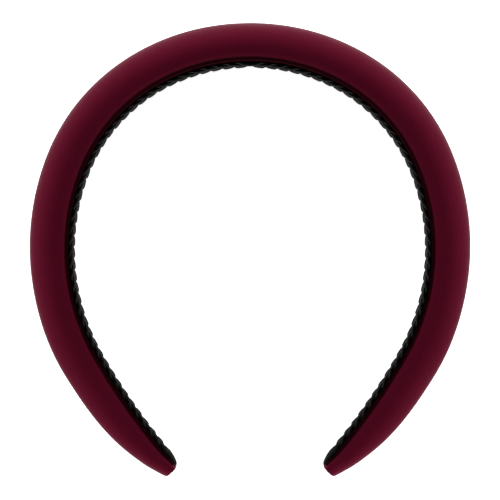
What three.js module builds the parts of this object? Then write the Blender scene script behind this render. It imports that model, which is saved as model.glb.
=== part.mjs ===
// Padded headband lying on its side: a domed soft pad on a curved band, lined inside with a plait.
// Lengths are millimetres and +Z is up. The crown points along +Y and the open ends along -Y.

import * as THREE from 'three';

// Seat line on the inner side of the pad, from the middle of the crown to an end: tangent arcs.
const CROWN_RADIUS = 65;
const CROWN_TURN = 26;
const SHOULDER_RADIUS = 59;
const SHOULDER_TURN = 43;
const SIDE_RADIUS = 74;
const SIDE_TURN = 51;
const LEG_RADIUS = 235;
const LEG_TURN = 11.48;

// Pad. Its width runs from front to back, and its thickness away from the head.
const PAD_WIDTH = 30;
const PAD_THICKNESS = 13.7;
const END_ROUNDING = 0.8;
const REST_PRESS = 0.3; // how deep the soft edge is pressed flat by the surface that it lies on

// Plait. Its thickness is that of a lobe, and the notches between lobes are cut into it.
const PLAIT_WIDTH = 13;
const PLAIT_THICKNESS = 1.6;
const PLAIT_PITCH = 4.09; // from lobe to lobe along an edge
const PLAIT_MIDDLE = 2.2; // half of the even stretch at the crown, from which the lobes run both ways
const NOTCH_DEPTH = 0.4;
const PLAIT_END = 8; // length of the smooth bound end, which has no notches
const PLAIT_SETBACK = 0.8; // from the pad's end
const PLAIT_MARGIN = 0.5; // bare underside left on each side where the pad is narrow
const SEAT_GAP = 0.3; // between the pad and the plait

// Shape of the pad's cross-section, as shares of its width and thickness.
const UNDERSIDE_SHARE = 0.75; // flat underside
const BULGE_SHARE = 0.25; // height of the widest line
const DOME_FULLNESS = 2.2; // 2 is an ellipse, and more is fuller

// Shape of the plait, as shares of its width and thickness.
const PLAIT_CREST_SHARE = 0.72; // where the inner face turns down to the edge
const PLAIT_EDGE_SHARE = 0.45; // depth of the widest line
const PLAIT_TIP_SHARE = 0.35; // what is left of both at the very end
const END_TAPER = 3; // 1 tapers evenly over the bound end, and more only near its tip
const LOBE_LEAN = 1.6; // 1 is an even lobe, and more leans it towards the end
const LOBE_ROUNDNESS = 0.6; // 1 is a sine wave, and less is rounder with sharper notches

// Sections of the pad, from the crown at 0 to an end at 1, as shares of its width and thickness.
const PAD_SECTIONS = [
  { along: 0.0, width: 1.0, thickness: 0.925 },
  { along: 0.15, width: 0.96, thickness: 0.955 },
  { along: 0.3, width: 0.865, thickness: 1.0 },
  { along: 0.45, width: 0.745, thickness: 0.985 },
  { along: 0.6, width: 0.635, thickness: 0.965 },
  { along: 0.75, width: 0.545, thickness: 0.935 },
  { along: 0.88, width: 0.485, thickness: 0.805 },
  { along: 0.96, width: 0.455, thickness: 0.54 },
  { along: 1.0, width: 0.44, thickness: 0.34 },
];

// How finely the solids are cut.
const PAD_STEPS = 80;
const CORNER_STEPS = 3;
const DOME_STEPS = 8;
const CROWDING = 1.4; // more than 1 crowds the points towards the widest line
const STEPS_A_LOBE = 4;
const STEPS_AN_END = 6;

const SEAT_ARCS = [
  { radius: CROWN_RADIUS, turn: CROWN_TURN },
  { radius: SHOULDER_RADIUS, turn: SHOULDER_TURN },
  { radius: SIDE_RADIUS, turn: SIDE_TURN },
  { radius: LEG_RADIUS, turn: LEG_TURN },
];

const QUARTER_TURN = Math.PI / 2;
const arcLength = (arc) => arc.radius * THREE.MathUtils.degToRad(arc.turn);
const HALF_LENGTH = SEAT_ARCS.reduce((sum, arc) => sum + arcLength(arc), 0);

/** Where the seat line is at a signed distance from the middle of the crown, and which way is out. */
function seatAt(distance) {
  const side = distance < 0 ? -1 : 1;
  const point = new THREE.Vector2(0, 0);
  let heading = 0;
  let left = Math.abs(distance);
  for (const arc of SEAT_ARCS) {
    const run = Math.min(left, arcLength(arc));
    const turned = heading + run / arc.radius;
    point.x += arc.radius * (Math.sin(turned) - Math.sin(heading));
    point.y += arc.radius * (Math.cos(turned) - Math.cos(heading));
    heading = turned;
    left -= run;
  }
  const outward = new THREE.Vector2(side * Math.sin(heading), Math.cos(heading));
  point.x *= side;
  return { point, outward };
}

const sectionPlaces = PAD_SECTIONS.map((row) => row.along);
const sectionShares = PAD_SECTIONS.flatMap((row) => [row.width, row.thickness]);
const sectionCurve = new THREE.CubicInterpolant(sectionPlaces, sectionShares, 2);
sectionCurve.settings = {
  endingStart: THREE.ZeroSlopeEnding,
  endingEnd: THREE.ZeroCurvatureEnding,
};

/** Half width and thickness of the pad at a signed distance from the middle of the crown. */
function padSizeAt(distance) {
  const [width, thickness] = sectionCurve.evaluate(Math.abs(distance) / HALF_LENGTH);
  return { halfWidth: (PAD_WIDTH / 2) * width, thickness: PAD_THICKNESS * thickness };
}

/** Puts an outline of front-to-back and outward distances at its place along the seat line. */
function placeOutline(outline, distance) {
  const { point, outward } = seatAt(distance);
  return outline.map(([across, out]) => {
    const place = outward.clone().multiplyScalar(out).add(point);
    return new THREE.Vector3(place.x, place.y, across);
  });
}

/** Closed solid through rings of as many points each, with a fan over each of its two ends. */
function sweep(rings) {
  const count = rings[0].length;
  const points = rings.flat();
  const indices = [];
  const after = (k) => (k + 1) % count;
  for (let first = 0; first + count < points.length; first += count) {
    const beyond = first + count;
    for (let k = 0; k < count; k += 1) {
      indices.push(first + k, beyond + k, beyond + after(k));
      indices.push(first + k, beyond + after(k), first + after(k));
    }
  }
  const centre = (ring) => ring.reduce((sum, p) => sum.add(p), new THREE.Vector3()).divideScalar(count);
  const last = points.length - count;
  const startCentre = points.push(centre(rings[0])) - 1;
  const endCentre = points.push(centre(rings.at(-1))) - 1;
  for (let k = 0; k < count; k += 1) {
    indices.push(startCentre, k, after(k));
    indices.push(endCentre, last + after(k), last + k);
  }
  const geometry = new THREE.BufferGeometry();
  geometry.setFromPoints(points);
  geometry.setIndex(indices);
  geometry.computeVertexNormals();
  return geometry;
}

/** Cross-section of the pad: a flat underside, a rounded corner and a dome, and the same mirrored. */
function padOutline(halfWidth, thickness) {
  const flat = halfWidth * UNDERSIDE_SHARE;
  const bulge = thickness * BULGE_SHARE;
  const front = [];
  for (let i = 0; i < CORNER_STEPS; i += 1) {
    const angle = QUARTER_TURN * (1 - (1 - i / CORNER_STEPS) ** CROWDING);
    front.push([flat + (halfWidth - flat) * Math.sin(angle), bulge * (1 - Math.cos(angle))]);
  }
  for (let i = 0; i < DOME_STEPS; i += 1) {
    const angle = QUARTER_TURN * (i / DOME_STEPS) ** CROWDING;
    const across = halfWidth * Math.cos(angle) ** (2 / DOME_FULLNESS);
    const up = (thickness - bulge) * Math.sin(angle) ** (2 / DOME_FULLNESS);
    front.push([across, bulge + up]);
  }
  const back = front.map(([across, out]) => [-across, out]).reverse();
  return [...front, [0, thickness], ...back];
}

/** The pad as it would be in the air, along the seat line from end to end. */
function buildPad() {
  const ringAt = (distance, inset) => {
    const { halfWidth, thickness } = padSizeAt(distance);
    const outline = padOutline(halfWidth - inset, thickness - 2 * inset);
    return placeOutline(outline.map(([across, out]) => [across, out + inset]), distance);
  };
  const fullEnd = HALF_LENGTH - END_ROUNDING;
  const rings = [ringAt(-HALF_LENGTH, END_ROUNDING)];
  for (let i = 0; i <= PAD_STEPS; i += 1) {
    rings.push(ringAt(fullEnd * ((2 * i) / PAD_STEPS - 1), 0));
  }
  rings.push(ringAt(HALF_LENGTH, END_ROUNDING));
  return sweep(rings);
}

/** Height of a lobe at a number of pitches from the crown: 0 in a notch and 1 on the crest. */
function lobeAt(pitches) {
  const part = pitches - Math.floor(pitches);
  return Math.sin(Math.PI * part ** LOBE_LEAN) ** LOBE_ROUNDNESS;
}

/** Cross-section of the plait, whose front and back edges are cut in by notches of their own. */
function plaitOutline(halfWidth, thickness, frontLobe, backLobe) {
  const edge = (lobe) => {
    const notch = NOTCH_DEPTH * (1 - lobe);
    const across = halfWidth - notch;
    const deep = Math.max(thickness - notch, thickness * PLAIT_EDGE_SHARE);
    return { across, crest: across * PLAIT_CREST_SHARE, deep, widest: deep * PLAIT_EDGE_SHARE };
  };
  const front = edge(frontLobe);
  const back = edge(backLobe);
  return [
    [-back.crest, -SEAT_GAP - back.deep],
    [front.crest, -SEAT_GAP - front.deep],
    [front.across, -SEAT_GAP - front.widest],
    [front.crest, -SEAT_GAP],
    [-back.crest, -SEAT_GAP],
    [-back.across, -SEAT_GAP - back.widest],
  ];
}

/** The plait along the seat line, with its lobes leaning towards the nearer end. */
function buildPlait() {
  const notched = HALF_LENGTH - PLAIT_SETBACK - PLAIT_END;
  const plaited = Math.hypot(notched, PLAIT_MIDDLE) - PLAIT_MIDDLE;
  const lobes = Math.round(plaited / PLAIT_PITCH);
  const half = [];
  for (let i = 0; i <= lobes * STEPS_A_LOBE; i += 1) {
    const pitches = i / STEPS_A_LOBE;
    const run = (plaited * pitches) / lobes;
    const distance = Math.sqrt(run * (run + 2 * PLAIT_MIDDLE));
    half.push({ distance, back: lobeAt(pitches), front: lobeAt(pitches + 0.5) });
  }
  for (let i = 1; i <= STEPS_AN_END; i += 1) {
    const distance = notched + (PLAIT_END * i) / STEPS_AN_END;
    half.push({ distance, back: 1, front: 1 });
  }
  const mirrored = half.slice(1).reverse().map((row) => ({ ...row, distance: -row.distance }));
  const rings = [...mirrored, ...half].map(({ distance, front, back }) => {
    const room = padSizeAt(distance).halfWidth * UNDERSIDE_SHARE - PLAIT_MARGIN;
    const intoEnd = Math.max(0, Math.abs(distance) - notched) / PLAIT_END;
    const share = 1 - (1 - PLAIT_TIP_SHARE) * intoEnd ** END_TAPER;
    const halfWidth = Math.min(PLAIT_WIDTH / 2, room) * share;
    return placeOutline(plaitOutline(halfWidth, PLAIT_THICKNESS * share, front, back), distance);
  });
  return sweep(rings);
}

/**
 * The line in which the band lies on a level surface, seen from its side. Its crown is its widest
 * place, so it rests on the edge of the crown and on what a line from there meets first.
 */
function restLine(geometry) {
  const points = geometry.getAttribute('position');
  const crown = new THREE.Vector2(0, 0);
  for (let i = 0; i < points.count; i += 1) {
    if (points.getZ(i) < crown.y) {
      crown.set(points.getY(i), points.getZ(i));
    }
  }
  let slope = Infinity;
  for (let i = 0; i < points.count; i += 1) {
    const behind = crown.x - points.getY(i);
    if (behind > PAD_THICKNESS) {
      slope = Math.min(slope, (points.getZ(i) - crown.y) / behind);
    }
  }
  return { crown, slope };
}

/** Presses what lies below the resting surface flat onto it. */
function pressFlat(geometry, { crown, slope }) {
  const points = geometry.getAttribute('position');
  for (let i = 0; i < points.count; i += 1) {
    const surface = crown.y + slope * (crown.x - points.getY(i)) + REST_PRESS;
    points.setZ(i, Math.max(points.getZ(i), surface));
  }
  geometry.computeVertexNormals();
}

const padGeometry = buildPad();
const rest = restLine(padGeometry);
pressFlat(padGeometry, rest);

const satin = new THREE.MeshStandardMaterial({ color: 0x5c1429, roughness: 0.45, metalness: 0 });
const pad = new THREE.Mesh(padGeometry, satin);
pad.name = 'padded_band';

const cord = new THREE.MeshStandardMaterial({ color: 0x151414, roughness: 0.8, metalness: 0 });
const plait = new THREE.Mesh(buildPlait(), cord);
plait.name = 'braid_lining';

// The band is turned to lie level, then set with its box centred over the origin and on z = 0.
const band = new THREE.Group();
band.add(pad, plait);
band.rotation.x = Math.atan(rest.slope);
const box = new THREE.Box3().setFromObject(band, true);
band.position.set(0, -(box.min.y + box.max.y) / 2, -box.min.z);

const headband = new THREE.Group();
headband.add(band);

export default headband;
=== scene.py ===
"""Padded satin headband, lined with a black plait and lying on its side on an evenly glowing floor.

Lengths are millimetres until a mesh is made, and metres in Blender. In the band's own axes the seat
line starts at the origin in the middle of the crown, +Y points out through the crown, and +Z points
to the band's front edge, which is uppermost as it lies.
"""

import logging
import math
from dataclasses import dataclass, field
from enum import Enum

import bpy
import numpy as np
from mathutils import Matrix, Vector


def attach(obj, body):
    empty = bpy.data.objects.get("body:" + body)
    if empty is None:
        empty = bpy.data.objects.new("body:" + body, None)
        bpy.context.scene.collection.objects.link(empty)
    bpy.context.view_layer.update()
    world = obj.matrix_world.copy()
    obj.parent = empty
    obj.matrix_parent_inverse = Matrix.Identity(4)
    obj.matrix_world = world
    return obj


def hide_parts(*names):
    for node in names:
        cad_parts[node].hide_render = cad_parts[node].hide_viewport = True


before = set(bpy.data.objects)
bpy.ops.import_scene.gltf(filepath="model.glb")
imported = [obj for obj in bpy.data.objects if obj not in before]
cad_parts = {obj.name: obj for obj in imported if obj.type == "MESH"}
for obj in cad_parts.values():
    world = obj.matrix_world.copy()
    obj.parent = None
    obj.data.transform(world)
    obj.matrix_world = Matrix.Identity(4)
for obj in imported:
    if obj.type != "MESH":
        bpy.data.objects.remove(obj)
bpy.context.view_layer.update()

MM = 0.001
TINY = 1e-9
THIRD_TURN = 2 * math.pi / 3
BODY = "root"

Array = np.ndarray
Colour = tuple[float, float, float]
Point = tuple[float, float, float]

log = logging.getLogger("headband")


def ease(start: float, end: float, value: Array) -> Array:
    """Smooth step: 0 before start, 1 after end, and 3tt - 2ttt between, with t the share of the way."""
    t = np.clip((value - start) / (end - start), 0, 1)
    return t * t * (3 - 2 * t)


def table_curve(places: Array, rows: Array, at: Array) -> Array:
    """Smooth curve through a table's rows.

    Between two rows it is the cubic that has their values and slopes. The slope at a row is the mean
    of the slopes of the chords on its two sides, 0 at the first row, and the last chord's at the last.

    Args:
        places: where the rows are, in rising order.
        rows: one row of values for each place.
        at: where the curve is wanted.

    Returns:
        The values there, one column for each of the table's.
    """
    chords = np.diff(rows, axis=0) / np.diff(places)[:, None]
    slopes = np.vstack([np.zeros_like(chords[:1]), (chords[1:] + chords[:-1]) / 2, chords[-1:]])
    row = np.clip(np.searchsorted(places, at, side="right") - 1, 0, len(places) - 2)
    step = np.diff(places)[row][..., None]
    t = (at - places[row])[..., None] / step
    start = (1 + 2 * t) * (1 - t) ** 2 * rows[row] + t * (1 - t) ** 2 * step * slopes[row]
    end = t * t * (3 - 2 * t) * rows[row + 1] - t * t * (1 - t) * step * slopes[row + 1]
    return start + end


def grid_normals(points: Array) -> Array:
    """Outward unit normals of a tube's rings: the cross product of the steps along and around it."""
    along = np.gradient(points, axis=0)
    around = np.roll(points, -1, axis=1) - np.roll(points, 1, axis=1)
    normals = np.cross(around, along)
    return normals / np.maximum(np.linalg.norm(normals, axis=-1, keepdims=True), TINY)


def add_object(name: str, data: bpy.types.ID) -> bpy.types.Object:
    """A new object in the scene that shows this data."""
    made = bpy.data.objects.new(name, data)
    bpy.context.scene.collection.objects.link(made)
    return made


def tube_object(name: str, points: Array, uv: Array) -> bpy.types.Object:
    """A closed tube of rings as a mesh object, whose first and last rings are drawn into poles.

    Args:
        name: the piece's name.
        points: rings by points by xyz, in metres.
        uv: rings by points + 1 by uv. The extra column repeats the first at the end of the way round.

    Returns:
        The object.
    """
    rings, count = points.shape[:2]
    body = points[1:-1].reshape(-1, 3)
    poles = points[[0, -1]].mean(axis=1)
    ring = np.arange(rings - 3)[:, None] * count
    here = np.arange(count)[None, :]
    after = (here + 1) % count
    quads = np.stack([ring + here, ring + after, ring + count + after, ring + count + here], -1)
    last = (rings - 3) * count
    first_fan = np.stack([np.full(count, len(body)), after[0], here[0]], -1)
    last_fan = np.stack([np.full(count, len(body) + 1), last + here[0], last + after[0]], -1)
    quad_uv = np.stack([uv[1:-2, :-1], uv[1:-2, 1:], uv[2:-1, 1:], uv[2:-1, :-1]], 2)
    first_uv = np.stack([uv[0, :-1], uv[1, 1:], uv[1, :-1]], 1)
    last_uv = np.stack([uv[-1, :-1], uv[-2, :-1], uv[-2, 1:]], 1)

    mesh = bpy.data.meshes.new(name)
    faces = [*quads.reshape(-1, 4).tolist(), *first_fan.tolist(), *last_fan.tolist()]
    mesh.from_pydata(np.vstack([body, poles]).tolist(), [], faces)
    layer = mesh.uv_layers.new(name="cloth")
    flat_uv = np.concatenate([part.reshape(-1, 2) for part in (quad_uv, first_uv, last_uv)])
    layer.data.foreach_set("uv", flat_uv.astype(np.float32).ravel())
    mesh.polygons.foreach_set("use_smooth", np.ones(len(faces), bool))
    mesh.update()
    return add_object(name, mesh)


class Op(Enum):
    """Arithmetic on a value that varies over a surface."""

    ADD = "ADD"
    SUBTRACT = "SUBTRACT"
    MULTIPLY = "MULTIPLY"
    SINE = "SINE"
    ABSOLUTE = "ABSOLUTE"


class Value:
    """One number that varies over a surface, with arithmetic that adds Math nodes."""

    def __init__(self, graph: "Graph", socket: bpy.types.NodeSocket) -> None:
        """Keeps a node's output and the graph that it is in."""
        self.graph = graph
        self.socket = socket

    def through(self, op: Op, *operands: "Value | float") -> "Value":
        """The output of a Math node for these operands."""
        node = self.graph.node("ShaderNodeMath", {"operation": op.value}, dict(enumerate(operands)))
        return Value(self.graph, node.outputs[0])

    def __add__(self, other: "Value | float") -> "Value":
        """Sum of the two."""
        return self.through(Op.ADD, self, other)

    def __radd__(self, other: float) -> "Value":
        """Sum with the number first."""
        return self.through(Op.ADD, other, self)

    def __sub__(self, other: "Value | float") -> "Value":
        """This less the other."""
        return self.through(Op.SUBTRACT, self, other)

    def __mul__(self, other: "Value | float") -> "Value":
        """Product of the two."""
        return self.through(Op.MULTIPLY, self, other)

    def sine(self) -> "Value":
        """Sine of this, in radians."""
        return self.through(Op.SINE, self)

    def size(self) -> "Value":
        """This without its sign."""
        return self.through(Op.ABSOLUTE, self)


@dataclass(frozen=True)
class Grain:
    """A soft noise, by its features in one unit of the coordinates, finer layers and stretch."""

    scale: float
    layers: float
    stretch: Point = (1, 1, 1)


@dataclass(frozen=True)
class Relief:
    """How far a pattern's height of 1 stands out, in metres, and the share of it that shows."""

    distance: float
    strength: float


class Graph:
    """The nodes of one material or of the world."""

    def __init__(self, tree: bpy.types.NodeTree) -> None:
        """Starts an empty graph in a node tree."""
        tree.nodes.clear()
        self.tree = tree

    @classmethod
    def material(cls, name: str) -> tuple[bpy.types.Material, "Graph"]:
        """A new material and its empty graph."""
        made = bpy.data.materials.new(name)
        made.use_nodes = True
        return made, cls(made.node_tree)

    def node(self, kind: str, settings: dict | None = None, inputs: dict | None = None) -> bpy.types.Node:
        """Adds a node.

        Args:
            kind: the node's type, such as ShaderNodeMath.
            settings: its own settings, such as a Math node's operation.
            inputs: numbers, colours, values or outputs for its sockets, by name or by place.

        Returns:
            The node.
        """
        node = self.tree.nodes.new(kind)
        for name, setting in (settings or {}).items():
            setattr(node, name, setting)
        for key, given in (inputs or {}).items():
            source = given.socket if isinstance(given, Value) else given
            if isinstance(source, bpy.types.NodeSocket):
                self.tree.links.new(source, node.inputs[key])
            else:
                node.inputs[key].default_value = source
        return node

    def value(self, kind: str, output: str | int, settings: dict, inputs: dict) -> Value:
        """One output of a new node, as a value."""
        return Value(self, self.node(kind, settings, inputs).outputs[output])

    def axes(self, where: bpy.types.NodeSocket) -> list[Value]:
        """The x, y and z of these coordinates."""
        parts = self.node("ShaderNodeSeparateXYZ", {}, {0: where})
        return [Value(self, output) for output in parts.outputs]

    def noise(self, grain: Grain, where: bpy.types.NodeSocket) -> Value:
        """Soft noise from 0 to 1 of a grain at these coordinates."""
        moved = self.node("ShaderNodeMapping", {}, {"Vector": where, "Scale": grain.stretch})
        inputs = {"Vector": moved.outputs[0], "Scale": grain.scale, "Detail": grain.layers}
        return self.value("ShaderNodeTexNoise", 0, {}, inputs)

    def smooth_step(
        self, value: Value, start: float, end: float, low: float = 0.0, high: float = 1.0
    ) -> Value:
        """Smooth change from low, up to start, to high, from end on."""
        inputs = {0: value, 1: start, 2: end, 3: low, 4: high}
        return self.value("ShaderNodeMapRange", 0, {"interpolation_type": "SMOOTHSTEP"}, inputs)

    def blend(self, factor: Value, low: Colour, high: Colour) -> bpy.types.NodeSocket:
        """Colour between low, where the factor is 0, and high, where it is 1."""
        inputs = {0: factor, 6: (*low, 1.0), 7: (*high, 1.0)}
        return self.node("ShaderNodeMix", {"data_type": "RGBA"}, inputs).outputs[2]

    def bump(self, height: Value, relief: Relief) -> bpy.types.NodeSocket:
        """Normal of a surface that a pattern's height raises."""
        inputs = {"Height": height, "Distance": relief.distance, "Strength": relief.strength}
        return self.node("ShaderNodeBump", {}, inputs).outputs[0]

    def finish(self, inputs: dict, second: dict | None = None, share: Value | None = None) -> None:
        """Ends a material's graph in its shader.

        Args:
            inputs: of its Principled shader.
            second: of another one that it changes into.
            share: of the second one.
        """
        shader = self.node("ShaderNodeBsdfPrincipled", {}, inputs).outputs[0]
        if second is not None:
            other = self.node("ShaderNodeBsdfPrincipled", {}, second).outputs[0]
            shader = self.node("ShaderNodeMixShader", {}, {0: share, 1: shader, 2: other}).outputs[0]
        self.node("ShaderNodeOutputMaterial", {}, {"Surface": shader})


@dataclass(frozen=True)
class Satin:
    """Matt burgundy satin, woven of fine threads that float along the band.

    Places around the section go from 0 on top of the dome to 1 in the middle of the underside.
    """

    low: Colour = (0.058, 0.0025, 0.0102)
    high: Colour = (0.070, 0.0034, 0.0128)
    # Painted shade, near black, where the satin turns under beside the plait; some of it stays on the
    # underside.
    painted_seam_shade: Colour = (0.008, 0.0010, 0.0018)
    lustre: float = 0.04  # share of the light that is mirrored in the threads' colour
    roughness: float = 0.42
    specular: float = 0.006
    specular_tint: Colour = (1.0, 0.3, 0.42)
    sheen: float = 0.03
    sheen_roughness: float = 0.4
    sheen_tint: Colour = (1.0, 0.45, 0.6)
    thread: float = 0.16  # millimetres from thread to thread
    float_length: float = 2.5  # from float to float along the cloth, in threads
    slub: Grain = Grain(0.35, 2, (0.25, 4, 1))  # thicker stretches of a thread
    patch: Grain = Grain(34, 2)  # uneven dye, in Object coordinates
    band: Grain = Grain(0.2, 1, (1, 0.12, 1))  # uneven dye across the band
    rib_height: float = 0.7
    float_height: float = 0.2
    slub_height: float = 0.6
    patch_share: float = 0.5  # of the change of colour, as the next two
    slub_share: float = 0.2
    band_share: float = 0.3
    patch_roughness: float = 0.08
    slub_roughness: float = 0.05
    relief: Relief = Relief(0.00002, 0.35)
    seam_shade_start: float = 0.66  # where the painted shade of the turned-under edge starts
    seam_shade_full: float = 0.705
    seam_shade_end: float = 0.76  # where that painted shade starts to ease off towards the underside
    under_shade_start: float = 0.81
    under_shade: float = 0.75  # how much of the painted shade is left on the underside

    def material(self) -> bpy.types.Material:
        """The satin by its cloth map in millimetres, with painted shade where it turns under as a matt
        shader.

        Returns:
            The material.
        """
        made, graph = Graph.material("burgundy_satin")
        cloth = graph.node("ShaderNodeUVMap", {"uv_map": "cloth"}).outputs[0]
        place = graph.node("ShaderNodeTexCoord").outputs["Object"]
        slub = graph.noise(self.slub, cloth)
        patch = graph.noise(self.patch, place)
        band = graph.noise(self.band, cloth)
        shade = patch * self.patch_share + slub * self.slub_share + band * self.band_share
        uneven = (patch - 0.5) * self.patch_roughness + (slub - 0.5) * self.slub_roughness
        weave = self.threads(graph, cloth) + slub * self.slub_height
        satin = {
            "Base Color": graph.blend(shade, self.low, self.high),
            "Roughness": self.roughness + uneven,
            "Metallic": self.lustre,
            "Specular IOR Level": self.specular,
            "Specular Tint": (*self.specular_tint, 1.0),
            "Sheen Weight": self.sheen,
            "Sheen Roughness": self.sheen_roughness,
            "Sheen Tint": (*self.sheen_tint, 1.0),
            "Normal": graph.bump(weave, self.relief),
        }
        # Painted shade: a dark matt shader without sheen where the satin turns under.
        painted_seam_shade = {"Base Color": (*self.painted_seam_shade, 1.0), "Roughness": 1.0, "Specular IOR Level": 0.0}
        graph.finish(satin, painted_seam_shade, self.tucked(graph))
        return made

    def threads(self, graph: Graph, cloth: bpy.types.NodeSocket) -> Value:
        """Height of the threads: ribs side by side, and slanting rows of floats along them."""
        along, across, _ = graph.axes(cloth)
        half_turn = math.pi / self.thread
        ribs = (across * half_turn).sine().size()
        floats = (along * (half_turn / self.float_length) + across * (2 * half_turn)).sine().size()
        return ribs * self.rib_height + floats * self.float_height

    def tucked(self, graph: Graph) -> Value:
        """Share of painted shade where the satin turns under, from 0 to 1, by its place around the
        section.
        """
        around = graph.value("ShaderNodeAttribute", "Fac", {"attribute_name": "around"}, {})
        into = graph.smooth_step(around, self.seam_shade_start, self.seam_shade_full)
        out_again = graph.smooth_step(around, self.seam_shade_end, self.under_shade_start)
        return into - out_again * (1 - self.under_shade)


@dataclass(frozen=True)
class Yarn:
    """Matt black cord of twisted threads, with painted highlights on the crests of its plies and painted
    shade in the grooves.
    """

    # Ends of the colour: painted shade in the grooves and painted highlight on the crests.
    low: Colour = (0.0010, 0.0010, 0.0010)
    high: Colour = (0.0080, 0.0079, 0.0075)
    roughness: float = 0.7
    specular: float = 0.06
    sheen: float = 0.002
    sheen_roughness: float = 0.5
    twist: float = 0.55  # millimetres along a cord from one ply to the next
    fuzz: Grain = Grain(3.0, 3, (1, 2, 1))
    ply_height: float = 0.7
    fuzz_height: float = 0.5
    shade: float = 0.8  # how much of the height shows as painted highlight on the crests and painted shade in the grooves
    fuzz_roughness: float = 0.2
    relief: Relief = Relief(0.00012, 0.7)

    def material(self) -> bpy.types.Material:
        """The cord, by its cloth map: millimetres along, and cords across a strand.

        Returns:
            The material.
        """
        made, graph = Graph.material("black_cord")
        cloth = graph.node("ShaderNodeUVMap", {"uv_map": "cloth"}).outputs[0]
        along, across, _ = graph.axes(cloth)
        ply = (along * (math.pi / self.twist) + across * math.pi).sine().size()
        fuzz = graph.noise(self.fuzz, cloth)
        threads = ply * self.ply_height + fuzz * self.fuzz_height
        graph.finish({
            # Painted highlight on the crests of the plies and painted shade in their grooves, with random
            # fuzz in the tone.
            "Base Color": graph.blend(threads * self.shade, self.low, self.high),
            "Roughness": self.roughness + (fuzz - 0.5) * self.fuzz_roughness,
            "Specular IOR Level": self.specular,
            "Sheen Weight": self.sheen,
            "Sheen Roughness": self.sheen_roughness,
            "Normal": graph.bump(threads, self.relief),
        })
        return made


@dataclass(frozen=True)
class Paper:
    """Plain pale paper of a studio floor, lit evenly from below like a light table."""

    low: Colour = (0.86, 0.86, 0.865)
    high: Colour = (0.9, 0.9, 0.9)
    glow: float = 0.9
    roughness: float = 0.85
    specular: float = 0.2
    mottle: Grain = Grain(6, 2)
    tooth: Grain = Grain(900, 2)
    relief: Relief = Relief(0.00005, 0.15)

    def material(self) -> bpy.types.Material:
        """The paper, hardly mottled and with a faint tooth.

        Returns:
            The material.
        """
        made, graph = Graph.material("pale_paper")
        place = graph.node("ShaderNodeTexCoord").outputs["Object"]
        graph.finish({
            "Base Color": graph.blend(graph.noise(self.mottle, place), self.low, self.high),
            "Roughness": self.roughness,
            "Specular IOR Level": self.specular,
            "Emission Color": (1.0, 1.0, 1.0, 1.0),
            "Emission Strength": self.glow,
            "Normal": graph.bump(graph.noise(self.tooth, place), self.relief),
        })
        return made


@dataclass(frozen=True)
class Arc:
    """One arc of the seat line, by its radius in millimetres and its turn in degrees."""

    radius: float
    turn: float

    @property
    def length(self) -> float:
        """Length of the arc."""
        return self.radius * math.radians(self.turn)


@dataclass(frozen=True)
class SeatLine:
    """Line on the inner side of the pad, in tangent arcs from the middle of the crown to each end."""

    arcs: tuple[Arc, ...] = (Arc(65, 26), Arc(59, 43), Arc(74, 51), Arc(235, 11.48))

    @property
    def half_length(self) -> float:
        """Length from the middle of the crown to an end."""
        return sum(arc.length for arc in self.arcs)

    def at(self, distance: Array) -> tuple[Array, Array]:
        """Points on the line and the ways out of the ring there.

        An arc adds its radius times the change of the heading's sine to x, and of its cosine to y, and
        the heading grows by the run over the radius. The half on the left is mirrored.

        Args:
            distance: signed distances from the middle of the crown.

        Returns:
            Points by xy, and outward unit vectors by xy.
        """
        left = np.abs(distance)
        heading = np.zeros_like(left)
        point = np.zeros((*left.shape, 2))
        for arc in self.arcs:
            run = np.minimum(left, arc.length)
            turned = heading + run / arc.radius
            point[..., 0] += arc.radius * (np.sin(turned) - np.sin(heading))
            point[..., 1] += arc.radius * (np.cos(turned) - np.cos(heading))
            heading = turned
            left = left - run
        side = np.where(distance < 0, -1.0, 1.0)
        point[..., 0] *= side
        return point, np.stack([side * np.sin(heading), np.cos(heading)], -1)

    def place(self, distance: Array, across: Array, out: Array) -> Array:
        """Points at distances along the line, towards the front edge and outwards, in the band's axes."""
        distance, across, out = np.broadcast_arrays(distance, across, out)
        point, outward = self.at(distance)
        return np.concatenate([point + outward * out[..., None], across[..., None]], -1)


@dataclass(frozen=True)
class Section:
    """Cross-section of the pad, by shares of the way to an end, of its width and of its thickness."""

    along: float
    width: float
    thickness: float


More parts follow.
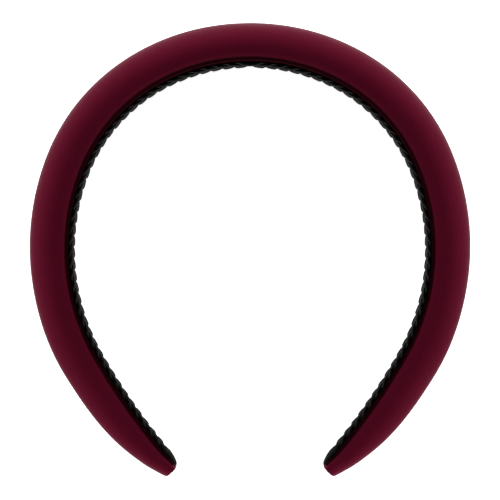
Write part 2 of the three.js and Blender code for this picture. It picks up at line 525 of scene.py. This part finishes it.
@dataclass(frozen=True)
class PadForm:
    """Shape of the pad: a flat underside, rounded corners and a dome, in sections along the band."""

    width: float = 30
    thickness: float = 13.7
    underside_share: float = 0.75
    bulge_share: float = 0.25
    fullness: float = 2.2
    end_rounding: float = 0.8
    rest_press: float = 0.3
    dome_part: float = 0.56  # share of the way from the top to the middle of the underside
    corner_part: float = 0.18
    sections: tuple[Section, ...] = (
        Section(0.0, 1.0, 0.925),
        Section(0.15, 0.96, 0.955),
        Section(0.3, 0.865, 1.0),
        Section(0.45, 0.745, 0.985),
        Section(0.6, 0.635, 0.965),
        Section(0.75, 0.545, 0.935),
        Section(0.88, 0.485, 0.805),
        Section(0.96, 0.455, 0.54),
        Section(1.0, 0.44, 0.34),
    )

    @property
    def corner_end(self) -> float:
        """Place around the section where the corner meets the flat underside."""
        return self.dome_part + self.corner_part

    def size_at(self, along: Array) -> tuple[Array, Array]:
        """Half width and thickness at shares of the way from the crown to an end."""
        places = np.array([row.along for row in self.sections])
        shares = np.array([(row.width, row.thickness) for row in self.sections])
        found = table_curve(places, shares, along)
        return self.width / 2 * found[..., 0], self.thickness * found[..., 1]

    def outline(self, around: Array, half_width: Array, thickness: Array) -> tuple[Array, Array]:
        """Cross-section of the pad.

        From the top down, the dome is a superellipse: across is the half width times a power of the
        cosine, and out is the rest of the thickness times the same power of the sine. The corner is
        a quarter of an ellipse from the widest line to the flat underside.

        Args:
            around: from 0 at the top of the dome to 1 in the middle of the underside, with the sign
                of the edge that it lies towards.
            half_width: half of the width.
            thickness: the thickness.

        Returns:
            Distances towards the front edge, and outwards.
        """
        way = np.abs(around)
        flat = half_width * self.underside_share
        bulge = thickness * self.bulge_share
        power = 2 / self.fullness
        dome_angle = math.pi / 2 * np.clip(1 - way / self.dome_part, 0, 1)
        corner_angle = math.pi / 2 * np.clip(1 - (way - self.dome_part) / self.corner_part, 0, 1)
        beyond = (way - self.dome_part - self.corner_part) / (1 - self.dome_part - self.corner_part)
        dome_across = half_width * np.cos(dome_angle) ** power
        dome_out = bulge + (thickness - bulge) * np.sin(dome_angle) ** power
        corner_across = flat * (1 - np.clip(beyond, 0, 1)) + (half_width - flat) * np.sin(corner_angle)
        corner_out = bulge * (1 - np.cos(corner_angle))
        on_dome = way <= self.dome_part
        across = np.where(on_dome, dome_across, corner_across)
        return np.sign(around) * across, np.where(on_dome, dome_out, corner_out)


@dataclass
class Rest:
    """How the band lies: turned about X onto the edge of its crown and its ends, then set on z = 0."""

    turn: float = 0.0
    shift: Array = field(default_factory=lambda: np.zeros(3))

    @classmethod
    def of(cls, points: Array, thickness: float, press: float) -> "Rest":
        """Finds how a band lies on a level surface.

        Its crown is its widest place. Seen from its side, it rests on the lowest point of the crown
        and on the point that a line from there meets first, and is pressed flat there.

        Args:
            points: the band's points in its own axes.
            thickness: of the pad, inside which no second resting point is looked for.
            press: how deep the soft edge is pressed in.

        Returns:
            The turn, and the shift that sets the box's middle over the origin and its foot at z = 0.
        """
        flat = points.reshape(-1, 3)
        crown = flat[np.argmin(flat[:, 2])]
        behind = crown[1] - flat[:, 1]
        far = behind > thickness
        slope = np.min((flat[far, 2] - crown[2]) / behind[far])
        lies = cls(turn=math.atan(slope))
        turned = lies.place(flat)
        middle = (turned[:, 1].min() + turned[:, 1].max()) / 2
        lies.shift = np.array([0.0, -middle, -turned[:, 2].min() - press * math.cos(lies.turn)])
        return lies

    def place(self, points: Array) -> Array:
        """Points of the band where they are as it lies."""
        cosine, sine = math.cos(self.turn), math.sin(self.turn)
        turn = np.array([[1, 0, 0], [0, cosine, -sine], [0, sine, cosine]])
        return points @ turn.T + self.shift


@dataclass(frozen=True)
class Wave:
    """A slow wave over the dome: radians a millimetre along, half turns around, phase and height."""

    along: float
    half_turns: float
    phase: float
    height: float


@dataclass(frozen=True)
class Tucks:
    """Small folds where the satin is drawn together.

    Lengths are millimetres, and reaches past a line are in places around the section.
    """

    gap: float = 5.5  # from tuck to tuck along the turned-under satin
    stray: float = 0.35  # how far a tuck may be from its even place, as a share of the gap
    narrowest: float = 0.5
    widest: float = 1.1
    shallowest: float = 0.15  # as a share of the deepest
    rarity: float = 1.5  # more than 1 makes deep tucks rarer
    depth: float = 0.22
    dome_reach: float = 0.04  # how far they reach onto the dome
    full_before: float = 0.03  # how far before the corner's end they are at full depth
    fade_start: float = 0.04  # how far past the corner's end they start to fade
    fade_end: float = 0.12
    end_reach: float = 1.5  # along the band, for the folds of an end face
    end_depth: float = 0.12
    end_count: int = 9
    seed: int = 11

    def depths(self, form: PadForm, half_length: float, distance: Array, around: Array) -> Array:
        """Depth of the folds over the pad.

        Along the turned-under edges they are bell curves at uneven gaps, each with a width and depth
        of its own. They fade out up the corner and under the plait. Over each end face they are
        a cosine of the way round.

        Args:
            form: shape of the pad.
            half_length: its length from the middle of the crown to an end.
            distance: of the rings.
            around: places of the columns.

        Returns:
            Depths by rings and columns.
        """
        chance = np.random.default_rng(self.seed)
        count = int(2 * half_length / self.gap)
        way = np.abs(around)
        rise = ease(form.dome_part - self.dome_reach, form.corner_end - self.full_before, way)
        fade = 1 - ease(form.corner_end + self.fade_start, form.corner_end + self.fade_end, way)
        depth = np.zeros((len(distance), len(around)))
        for edge in (-1, 1):
            centre = np.linspace(-1, 1, count) * half_length
            centre = centre + chance.uniform(-self.stray, self.stray, count) * self.gap
            width = chance.uniform(self.narrowest, self.widest, count)
            size = chance.uniform(self.shallowest, 1.0, count) ** self.rarity
            bells = size * np.exp(-(((distance[:, None] - centre) / width) ** 2))
            on_edge = rise * fade * (np.sign(around) == edge)
            depth += self.depth * bells.sum(1)[:, None] * on_edge
        near_end = ease(half_length - self.end_reach, half_length, np.abs(distance))
        folds = 0.5 + 0.5 * np.cos(self.end_count * math.pi * around)
        return depth + self.end_depth * near_end[:, None] * folds


@dataclass
class PaddedBand:
    """The padded band: satin drawn over foam, turned under at its edges and folded in at its ends."""

    seat: SeatLine
    form: PadForm
    tucks: Tucks = Tucks()
    stations: int = 400
    columns: int = 60
    rounding_rings: int = 3
    cap_rings: int = 3
    end_hold: float = 9  # millimetres from each end where the satin is held more and more
    end_still: float = 2  # millimetres from each end over which it doesn't move
    inset: float = 0.35  # how much smaller the pad starts before it swells
    swell_cap: float = 0.7
    pressure: float = 4.0
    enlarged: float = 25.0  # times its size while it swells, to suit the solver
    last_frame: int = 20
    seat_swell: float = 0.45  # how far the satin stands out against the plait
    seat_full: float = 0.81  # place around from which it stands out by all of that
    waves: tuple[Wave, ...] = (
        Wave(0.031, 1.3, 0.4, 0.05),
        Wave(0.067, -2.1, 1.9, 0.035),
        Wave(0.113, 2.9, 4.0, 0.02),
    )
    waves_end: tuple[float, float] = (0.45, 0.7)  # places around over which the waves fade out
    mark_end: float = 1.5  # millimetres from each end over which the place around falls to 0

    def rings(self) -> tuple[Array, Array]:
        """Where the rings of the surface are: their distances, and how far each is drawn in.

        The body's rings are evenly spaced. At each end they follow a quarter circle, with the sine
        along and the versed sine in, and then close over the end face.

        Returns:
            Distances, and shares from 0 of the rounding's radius to 1, and from 1 to 2 over the face.
        """
        full = self.seat.half_length - self.form.end_rounding
        turn = np.linspace(0, math.pi / 2, self.rounding_rings + 1)[1:]
        corner = full + self.form.end_rounding * np.sin(turn)
        face = np.full(self.cap_rings, self.seat.half_length)
        end = np.concatenate([corner, face])
        end_in = np.concatenate([1 - np.cos(turn), 1 + np.linspace(0, 1, self.cap_rings + 1)[1:]])
        body = np.linspace(-full, full, self.stations)
        distance = np.concatenate([-end[::-1], body, end])
        drawn_in = np.concatenate([end_in[::-1], np.zeros(self.stations), end_in])
        return distance, drawn_in

    def surface(self, inset: float) -> tuple[Array, Array, Array, Array]:
        """The pad in its own axes.

        Args:
            inset: how much smaller the pad is than the form.

        Returns:
            Points by rings and columns, the distances of the rings, the places around of the columns,
            and the cloth map in millimetres.
        """
        distance, drawn_in = self.rings()
        around = np.linspace(-1, 1, self.columns, endpoint=False)
        along = np.minimum(np.abs(distance), self.seat.half_length) / self.seat.half_length
        half_width, thickness = self.form.size_at(along)
        inset = inset * self.free(distance)
        rounding = np.minimum(drawn_in, 1) * self.form.end_rounding
        half_width = (half_width - rounding - inset)[:, None]
        lift = rounding[:, None]
        height = (thickness - 2 * rounding - inset)[:, None]
        across, out = self.form.outline(around[None, :], half_width, height)
        out = out + lift
        against_plait = ease(self.form.corner_end, self.seat_full, np.abs(around))
        out = out - self.seat_swell * against_plait * (1 - np.minimum(drawn_in, 1))[:, None]
        closing = np.maximum(drawn_in - 1, 0)[:, None]
        across = across * (1 - closing)
        out = out + (lift + height / 2 - out) * closing
        points = self.seat.place(distance[:, None], across, out)
        return points, distance, around, self.cloth_map(points, across, out)

    def free(self, distance: Array) -> Array:
        """How free the satin is to swell: 1 along the band, easing to 0 where it is drawn over an end."""
        end = self.seat.half_length
        return 1 - ease(end - self.end_hold, end - self.end_still, np.abs(distance))

    def cloth_map(self, points: Array, across: Array, out: Array) -> Array:
        """Millimetres along the top of the dome, and millimetres from it down the section."""
        top = self.columns // 2
        steps = np.linalg.norm(np.diff(points[:, top], axis=0), axis=-1)
        along = np.concatenate([[0.0], np.cumsum(steps)])
        closed = np.stack([np.c_[across, across[:, :1]], np.c_[out, out[:, :1]]], -1)
        girth = np.linalg.norm(np.diff(closed, axis=1), axis=-1)
        down = np.concatenate([np.zeros((len(along), 1)), np.cumsum(girth, axis=1)], axis=1)
        down = down - down[:, top:top + 1]
        return np.stack([np.broadcast_to(along[:, None], down.shape), down], -1)

    def swell(self, points: Array, distance: Array, around: Array) -> Array:
        """Blows the satin out with a cloth simulation, held where it is glued under the plait.

        Args:
            points: the surface in its own axes.
            distance: the distances of its rings.
            around: the places around of its columns.

        Returns:
            The swollen surface, no point of which has moved further than the cap.
        """
        blank = np.zeros((points.shape[0], points.shape[1] + 1, 2))
        cloth = tube_object("satin_blank", points * MM * self.enlarged, blank)
        rows, columns = points.shape[0] - 2, points.shape[1]
        glued = np.flatnonzero(np.abs(around) > self.form.corner_end)
        held = np.arange(rows)[:, None] * columns + glued[None, :]
        moved = self.simulate(cloth, held.ravel().tolist())[: rows * columns]
        after = moved.reshape(rows, columns, 3) / (MM * self.enlarged)
        change = (after - points[1:-1]) * self.free(distance[1:-1])[:, None, None]
        length = np.linalg.norm(change, axis=-1, keepdims=True)
        log.info("satin swelled by %.2f mm at most and %.2f on average", length.max(), length.mean())
        swollen = points.copy()
        swollen[1:-1] += change * np.minimum(1, self.swell_cap / np.maximum(length, TINY))
        return swollen

    def simulate(self, cloth: bpy.types.Object, held: list[int]) -> Array:
        """Swells a blank with the cloth simulation, and removes it.

        Args:
            cloth: the blank.
            held: its points that stay where they are.

        Returns:
            Where its points are after the last frame.
        """
        group = cloth.vertex_groups.new(name="glued")
        group.add(held, 1.0, "REPLACE")
        swelling = cloth.modifiers.new("swelling", "CLOTH")
        swelling.settings.use_pressure = True
        swelling.settings.uniform_pressure_force = self.pressure
        swelling.settings.effector_weights.gravity = 0
        swelling.settings.vertex_group_mass = group.name
        swelling.point_cache.frame_start = 1
        swelling.point_cache.frame_end = self.last_frame
        scene = bpy.context.scene
        for number in range(1, self.last_frame + 1):
            scene.frame_set(number)
        moved = cloth.evaluated_get(bpy.context.evaluated_depsgraph_get()).data
        after = np.empty(len(moved.vertices) * 3)
        moved.vertices.foreach_get("co", after)
        bpy.data.objects.remove(cloth)
        scene.frame_set(1)
        return after.reshape(-1, 3)

    def unevenness(self, distance: Array, around: Array) -> Array:
        """Soft rise and fall of the stuffed dome, in millimetres: a sum of slow waves."""
        total = np.zeros((len(distance), len(around)))
        for wave in self.waves:
            turned = wave.along * distance[:, None] + wave.half_turns * math.pi * around[None, :]
            total += wave.height * np.sin(turned + wave.phase)
        return total * (1 - ease(*self.waves_end, np.abs(around)))

    def build(self, rest: Rest) -> bpy.types.Object:
        """Makes the padded band, lying as it rests.

        Args:
            rest: how the band lies.

        Returns:
            The piece.
        """
        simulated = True
        points, distance, around, cloth = self.surface(self.inset if simulated else 0.0)
        if simulated:
            points = self.swell(points, distance, around)
        tucked = self.tucks.depths(self.form, self.seat.half_length, distance, around)
        relief = self.unevenness(distance, around) - tucked
        points = points + grid_normals(points) * relief[..., None]
        points = rest.place(points)
        points[..., 2] = np.maximum(points[..., 2], 0)
        piece = tube_object("padded_satin", points * MM, cloth)
        self.mark_around(piece, distance, around)
        smooth = piece.modifiers.new("smooth", "SUBSURF")
        smooth.levels = smooth.render_levels = 1
        return piece

    def mark_around(self, piece: bpy.types.Object, distance: Array, around: Array) -> None:
        """Gives each point its place around the section, falling to 0 towards an end."""
        end = self.seat.half_length
        from_end = 1 - ease(end - self.mark_end, end, np.abs(distance))
        place = from_end[:, None] * np.abs(around)
        marks = piece.data.attributes.new("around", "FLOAT", "POINT")
        marks.data.foreach_set("value", np.append(place[1:-1].ravel(), (0.0, 0.0)))

    def dress(self, piece: bpy.types.Object, finish: Satin) -> None:
        """Gives the piece its satin, hangs it from the body's empty and hides the model's padded band."""
        piece.data.materials.append(finish.material())
        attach(piece, BODY)
        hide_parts("padded_band")


@dataclass
class PlaitLining:
    """Three flat strands plaited along the inside of the pad, and bound smooth at both ends."""

    seat: SeatLine
    form: PadForm
    width: float = 13
    thickness: float = 1.8
    pitch: float = 4.09
    middle: float = 2.2  # half of the even stretch at the crown, from which the plait runs both ways
    end_length: float = 8
    setback: float = 0.8
    margin: float = 0.5
    gap: float = 0.3
    tip_share: float = 0.35
    end_taper: float = 3
    strand_share: float = 0.31  # width of a strand as a share of the plait's
    strand_flatness: float = 0.54  # half thickness of a strand as a share of the plait's half
    slack: float = 0.42  # how far a strand's width leans with its path
    dwell: float = 2.0  # how long a strand stays over or under
    gather_before: float = 2.5  # how far before a bound end the strands start to come side by side
    gather_after: float = 3.5  # how far into it they are there
    start_phase: float = 285  # degrees of the first strand's swing at the crown
    cords: int = 4
    groove: float = 0.4
    groove_edge: float = 0.7  # 1 is a sine wave, and less has narrower grooves
    squareness: float = 2.6
    steps_a_pitch: int = 18
    profile_points: int = 40
    nose: float = 0.9

    @property
    def plaited(self) -> float:
        """Distance from the middle of the crown to where the bound end starts."""
        return self.seat.half_length - self.setback - self.end_length

    @property
    def lobes(self) -> int:
        """How many lobes an edge has between the crown and a bound end."""
        return round(float(self.run(self.plaited)) / self.pitch)

    @property
    def even_pitch(self) -> float:
        """The pitch at which these lobes just fill that length."""
        return float(self.run(self.plaited)) / self.lobes

    def run(self, distance: Array) -> Array:
        """Length that has been plaited: the hypotenuse of distance and middle, less the middle."""
        return np.hypot(distance, self.middle) - self.middle

    def envelope(self, distance: Array) -> tuple[Array, Array]:
        """Half width and thickness of the whole plait at distances along the seat line."""
        along = np.minimum(np.abs(distance) / self.seat.half_length, 1)
        room = self.form.size_at(along)[0] * self.form.underside_share - self.margin
        into_end = np.clip((np.abs(distance) - self.plaited) / self.end_length, 0, 1)
        share = 1 - (1 - self.tip_share) * into_end**self.end_taper
        return np.minimum(self.width / 2, room) * share, self.thickness * share

    def path(self, number: int, distance: Array) -> tuple[Array, Array, Array, Array]:
        """Way of one strand's middle, and its size along it.

        It swings from edge to edge as a sine of its phase, and over and under as a flattened sine of
        twice the phase, which turns by a third of a turn for each pitch. In the bound ends the three
        strands lie side by side.

        Args:
            number: 0, 1 or 2.
            distance: along the seat line.

        Returns:
            Its places across and below the plait's upper face, its half widths and half thicknesses.
        """
        turned = THIRD_TURN * self.run(distance) / self.even_pitch + math.radians(self.start_phase)
        phase = turned + THIRD_TURN * number
        end_phase = math.radians(self.start_phase) + THIRD_TURN * (self.lobes + np.arange(3))
        lane = float(np.argsort(np.argsort(np.sin(end_phase)))[number] - 1)
        half_width, thickness = self.envelope(distance)
        start, end = self.plaited - self.gather_before, self.plaited + self.gather_after
        gathered = ease(start, end, np.abs(distance))
        plaited_half = half_width * self.strand_share
        strand_half = plaited_half + (half_width / 3 - plaited_half) * gathered
        swing = (half_width - plaited_half) * np.sin(phase)
        across = swing * (1 - gathered) + lane * (half_width * 2 / 3) * gathered
        flat_half = thickness / 2 * self.strand_flatness
        strand_deep = flat_half + (thickness / 2 - flat_half) * gathered
        over = np.tanh(self.dwell * np.sin(2 * phase)) / math.tanh(self.dwell)
        below = thickness / 2 + (thickness / 2 - flat_half) * over * (1 - gathered)
        return across, below, strand_half, strand_deep

    def profile(self) -> tuple[Array, Array, Array]:
        """Section of a strand: a flat superellipse, grooved between its cords.

        Returns:
            Places across and down from -1 to 1, and places in cords, which end with the first again.
        """
        angle = np.linspace(0, 2 * math.pi, self.profile_points, endpoint=False)
        wide = np.cos(angle)
        between = np.abs(np.sin(self.cords * math.pi * (wide + 1) / 2)) ** self.groove_edge
        full = (1 - np.abs(wide) ** self.squareness) ** (1 / self.squareness)
        deep = np.sign(np.sin(angle)) * full * (1 - self.groove * (1 - between))
        return wide, deep, np.append((wide + 1) / 2 * self.cords, self.cords)

    def strand(self, number: int) -> tuple[Array, Array]:
        """One strand in the band's own axes: its section carried along its path, leaning with it.

        Args:
            number: 0, 1 or 2.

        Returns:
            Points by rings and points of the section, and the cloth map.
        """
        reach = self.seat.half_length - self.setback
        count = 2 * int(reach / self.even_pitch * self.steps_a_pitch) + 1
        distance = np.linspace(-reach, reach, count)
        across, below, half, deep_half = self.path(number, distance)
        lean = np.arctan(self.slack * np.gradient(across, distance))
        closing = np.clip((np.abs(distance) - (reach - self.nose)) / self.nose, 0, 1)
        nose = np.sqrt(1 - closing**2)
        wide, deep, cord = self.profile()
        offset = (half * nose)[:, None] * wide
        away = (deep_half * nose)[:, None] * deep
        place = distance[:, None] - offset * np.sin(lean)[:, None]
        side = across[:, None] + offset * np.cos(lean)[:, None]
        points = self.seat.place(place, side, -self.gap - below[:, None] - away)
        steps = np.hypot(np.diff(distance), np.diff(across))
        along = np.concatenate([[0.0], np.cumsum(steps)])
        return points, np.stack(np.broadcast_arrays(along[:, None], cord[None, :]), -1)

    def build(self, rest: Rest) -> list[bpy.types.Object]:
        """Makes the three strands, lying as the band rests."""
        made = []
        for number in range(3):
            points, cloth = self.strand(number)
            made.append(tube_object(f"plait_strand_{number + 1}", rest.place(points) * MM, cloth))
        return made

    def dress(self, strands: list[bpy.types.Object], finish: Yarn) -> None:
        """Gives the strands their yarn, hangs them from the body's empty and hides the model's braid
        lining.
        """
        material = finish.material()
        for strand in strands:
            strand.data.materials.append(material)
            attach(strand, BODY)
            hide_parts("braid_lining")


@dataclass
class Studio:
    """A glowing floor, with soft lamps low all round the band and two larger ones past its crown."""

    floor_radius: float = 3.0
    floor_sides: int = 96
    lamps_round: int = 12
    round_radius: float = 0.15
    round_height: float = 0.03
    round_size: float = 0.09
    round_fill: float = 0.95  # share of the ring that its lamps take up
    round_aim: float = 0.015
    round_power: float = 0.048
    key_distance: float = 0.6
    key_height: float = 50  # degrees above the floor
    key_side: float = 20  # degrees to each side of the crown
    key_size: float = 0.35
    key_power: float = 1.1
    wall: float = 1.0
    wall_height: float = 0.15  # sine of the height up to which the pale wall goes
    ceiling: float = 0.05
    ceiling_height: float = 0.3  # sine of the height from which it is all ceiling
    camera_distance: float = 800  # millimetres, as are the next and the sensor
    object_width: float = 152
    object_pixels: float = 441
    frame_pixels: float = 500
    sensor: float = 36

    def floor(self, finish: Paper) -> None:
        """Lays a round floor at z = 0."""
        angle = np.linspace(0, 2 * math.pi, self.floor_sides, endpoint=False)
        rim = np.stack([np.cos(angle), np.sin(angle), np.zeros_like(angle)], -1) * self.floor_radius
        mesh = bpy.data.meshes.new("floor")
        mesh.from_pydata(rim.tolist(), [], [list(range(len(rim)))])
        mesh.materials.append(finish.material())
        piece = add_object("floor", mesh)

    def lamp(self, name: str, place: Point, aim: float, size: tuple[float, float], power: float) -> None:
        """Adds one soft rectangular lamp that isn't seen itself.

        Args:
            name: its name.
            place: where it is, in metres.
            aim: height of the point over the origin that it faces.
            size: its width and height.
            power: its power in watts.
        """
        data = bpy.data.lights.new(name, "AREA")
        data.shape = "RECTANGLE"
        data.size, data.size_y = size
        data.energy = power
        made = add_object(name, data)
        made.location = place
        made.rotation_euler = (Vector((0, 0, aim)) - Vector(place)).to_track_quat("-Z", "Y").to_euler()
        made.visible_camera = False

    def light(self) -> None:
        """Lights the scene."""
        self.low_ring()
        self.key_pair()
        self.room()

    def low_ring(self) -> None:
        """Sets the low lamps side by side in a ring round the band."""
        width = 2 * math.pi * self.round_radius / self.lamps_round * self.round_fill
        for number in range(self.lamps_round):
            turn = 2 * math.pi * (number + 0.5) / self.lamps_round
            level = (self.round_radius * math.sin(turn), self.round_radius * math.cos(turn))
            place = (*level, self.round_height)
            size = (width, self.round_size)
            self.lamp(f"low_lamp_{number + 1}", place, self.round_aim, size, self.round_power)

    def key_pair(self) -> None:
        """Sets the two larger lamps past the crown, one to each side."""
        rise = math.radians(self.key_height)
        level = self.key_distance * math.cos(rise)
        for name, side in (("left", -1), ("right", 1)):
            turn = side * math.radians(self.key_side)
            place = (level * math.sin(turn), level * math.cos(turn), self.key_distance * math.sin(rise))
            self.lamp(f"key_lamp_{name}", place, 0.0, (self.key_size, self.key_size), self.key_power)

    def room(self) -> None:
        """Sets pale walls far off all round, and a dim ceiling."""
        world = bpy.data.worlds.new("soft_room")
        world.use_nodes = True
        bpy.context.scene.world = world
        graph = Graph(world.node_tree)
        way = graph.node("ShaderNodeTexCoord").outputs["Generated"]
        height = graph.axes(way)[2].size()
        strength = graph.smooth_step(
            height, self.wall_height, self.ceiling_height, self.wall, self.ceiling
        )
        background = graph.node("ShaderNodeBackground", {}, {0: (1.0, 1.0, 1.0, 1.0), 1: strength})
        graph.node("ShaderNodeOutputWorld", {}, {0: background.outputs[0]})

    def camera(self, rest: Rest, middle: Array) -> None:
        """Looks straight down on the plane of the arch, with the crown at the top of the picture.

        Args:
            rest: how the band lies.
            middle: the middle of the band in its own axes, in millimetres.
        """
        data = bpy.data.cameras.new("camera")
        data.sensor_width = self.sensor
        frame_width = self.object_width / self.object_pixels * self.frame_pixels
        data.lens = self.sensor * self.camera_distance / frame_width
        made = add_object("camera", data)
        made.location = rest.place(middle + np.array([0, 0, self.camera_distance])) * MM
        made.rotation_euler = (rest.turn, 0, 0)
        bpy.context.scene.camera = made

    def tone(self) -> None:
        """Shows colours as they are, with no film curve."""
        bpy.context.scene.view_settings.view_transform = "Standard"
        bpy.context.scene.view_settings.look = "None"


def main() -> None:
    """Builds the band, dresses it and sets the studio."""
    logging.basicConfig(level=logging.INFO, format="%(name)s: %(message)s")
    seat = SeatLine()
    form = PadForm()
    band = PaddedBand(seat, form)
    plain = band.surface(0.0)[0]
    rest = Rest.of(plain, form.thickness, form.rest_press)
    log.info("the band lies turned by %.3f degrees, moved by %s mm", math.degrees(rest.turn), rest.shift)

    pad = band.build(rest)
    band.dress(pad, Satin())

    lining = PlaitLining(seat, form)
    strands = lining.build(rest)
    lining.dress(strands, Yarn())
    for piece in (pad, *strands):
        log.info("%s: %d faces", piece.name, len(piece.data.polygons))

    studio = Studio()
    studio.floor(Paper())
    studio.light()
    middle = (plain.min((0, 1)) + plain.max((0, 1))) / 2
    studio.camera(rest, middle)
    studio.tone()


if __name__ == "__main__":
    main()
